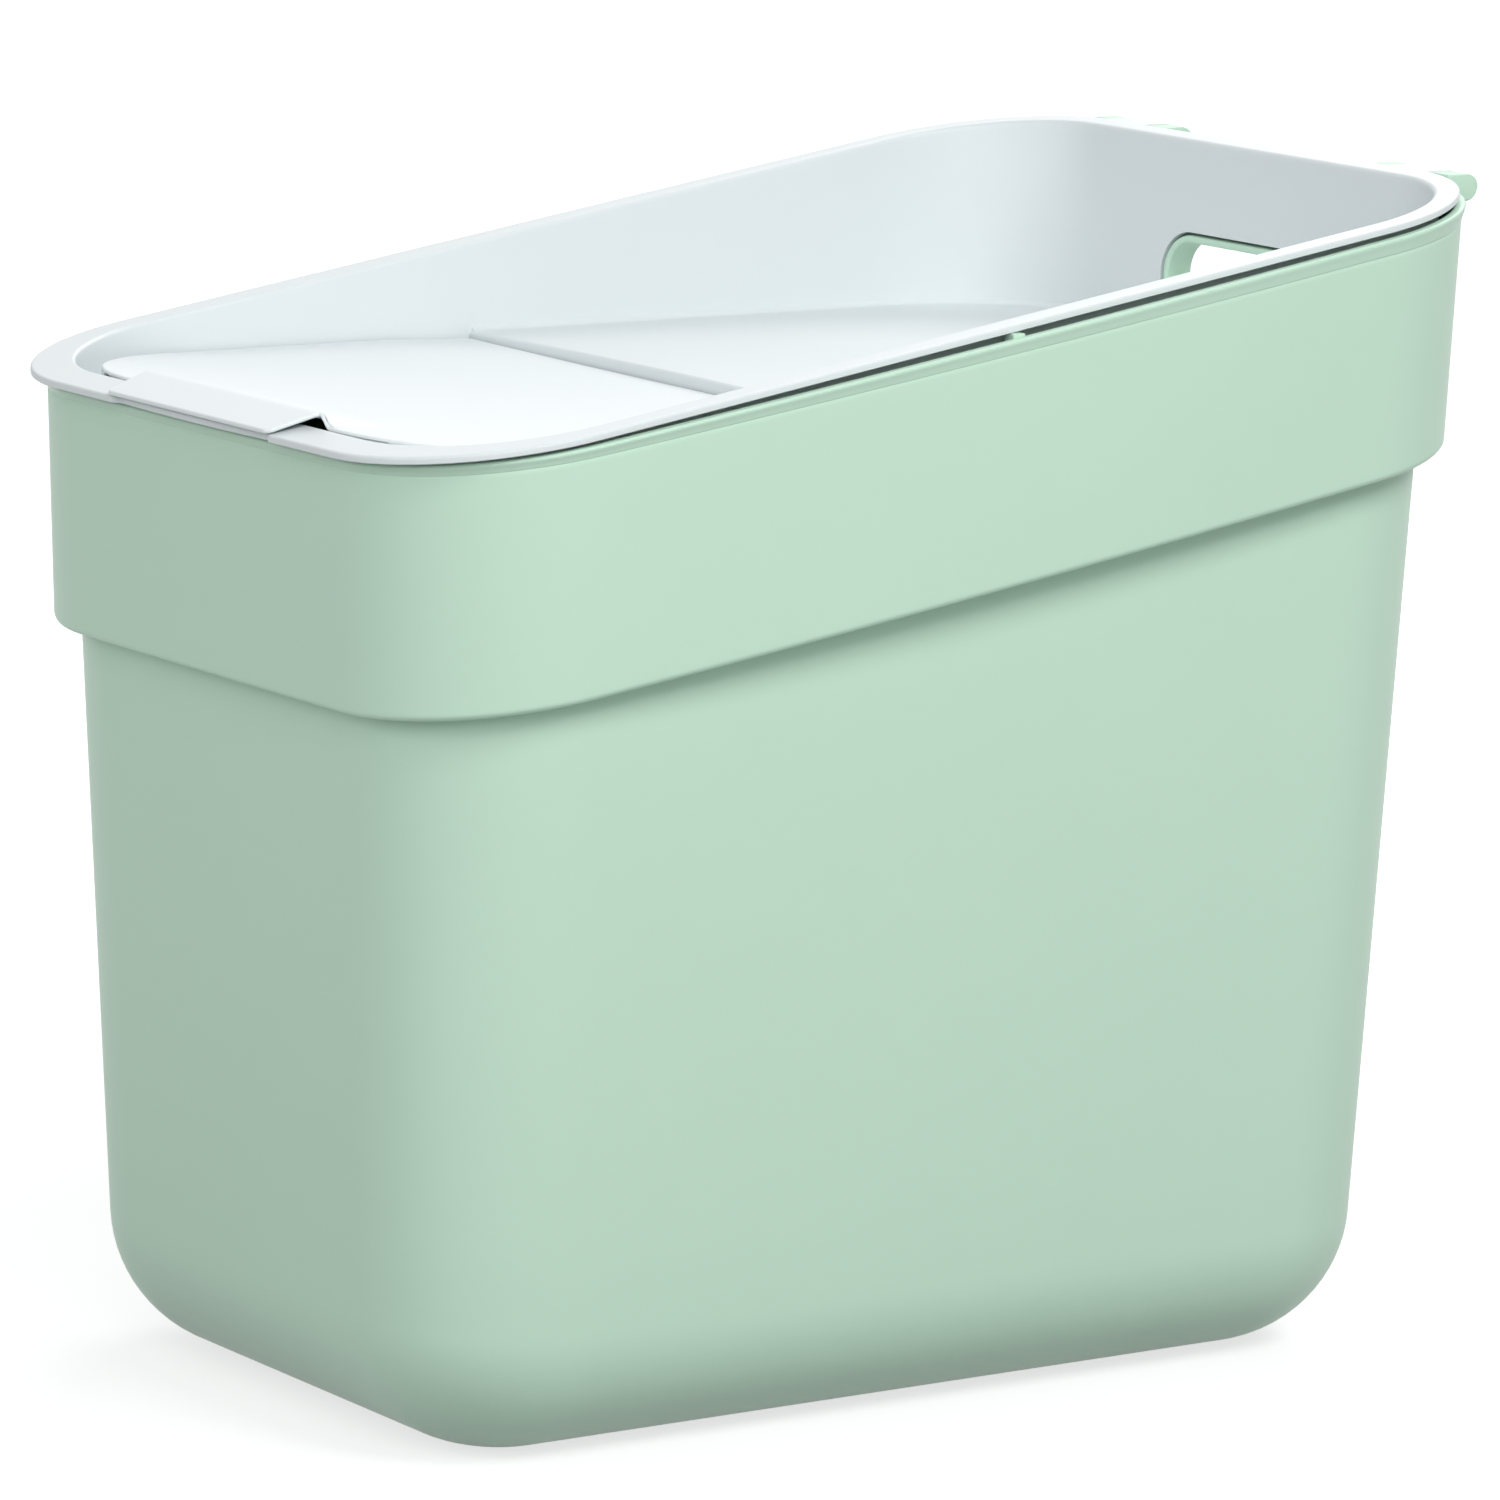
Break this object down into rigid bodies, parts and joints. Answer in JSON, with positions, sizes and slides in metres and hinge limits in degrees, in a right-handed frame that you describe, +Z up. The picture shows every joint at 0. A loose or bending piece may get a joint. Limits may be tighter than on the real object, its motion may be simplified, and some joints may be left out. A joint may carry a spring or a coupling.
{
  "type": "recycling bin",
  "caption": "Drafted plastic tub with a stepped collar and a sloping rim; a recessed lid frame hinges at the rear and a front flap with a tab lifts for throwing waste in.",
  "frame": {"origin": "centre of the flat base, on the floor", "axes": "+Z up, +Y towards the high rear rim with the hinges and the hand slot, +X across the bin; the front with the lift tab faces -Y"},
  "size_m": [0.261, 0.3815, 0.3423],
  "materials": {
    "tub_green": "matte",
    "lid_white": "satin",
    "flap_white": "satin",
    "pin_green": "matte"
  },
  "bodies": {
    "bin": {"tub": "tub_green", "hinge_pin_left": "pin_green", "hinge_pin_right": "pin_green"},
    "lid": {"lid_frame": "lid_white"},
    "flap": {"front_flap": "flap_white"}
  },
  "joints": [
    {"name": "lid_hinge", "type": "hinge", "parent": "bin", "child": "lid", "pos_m": [0, 0.18921, 0.338], "axis": [-1, 0, 0], "range_deg": [0, 105]},
    {"name": "flap_hinge", "type": "hinge", "parent": "lid", "child": "flap", "pos_m": [0, -0.02559, 0.2782], "axis": [-1, 0, 0], "range_deg": [0, 90]}
  ]
}
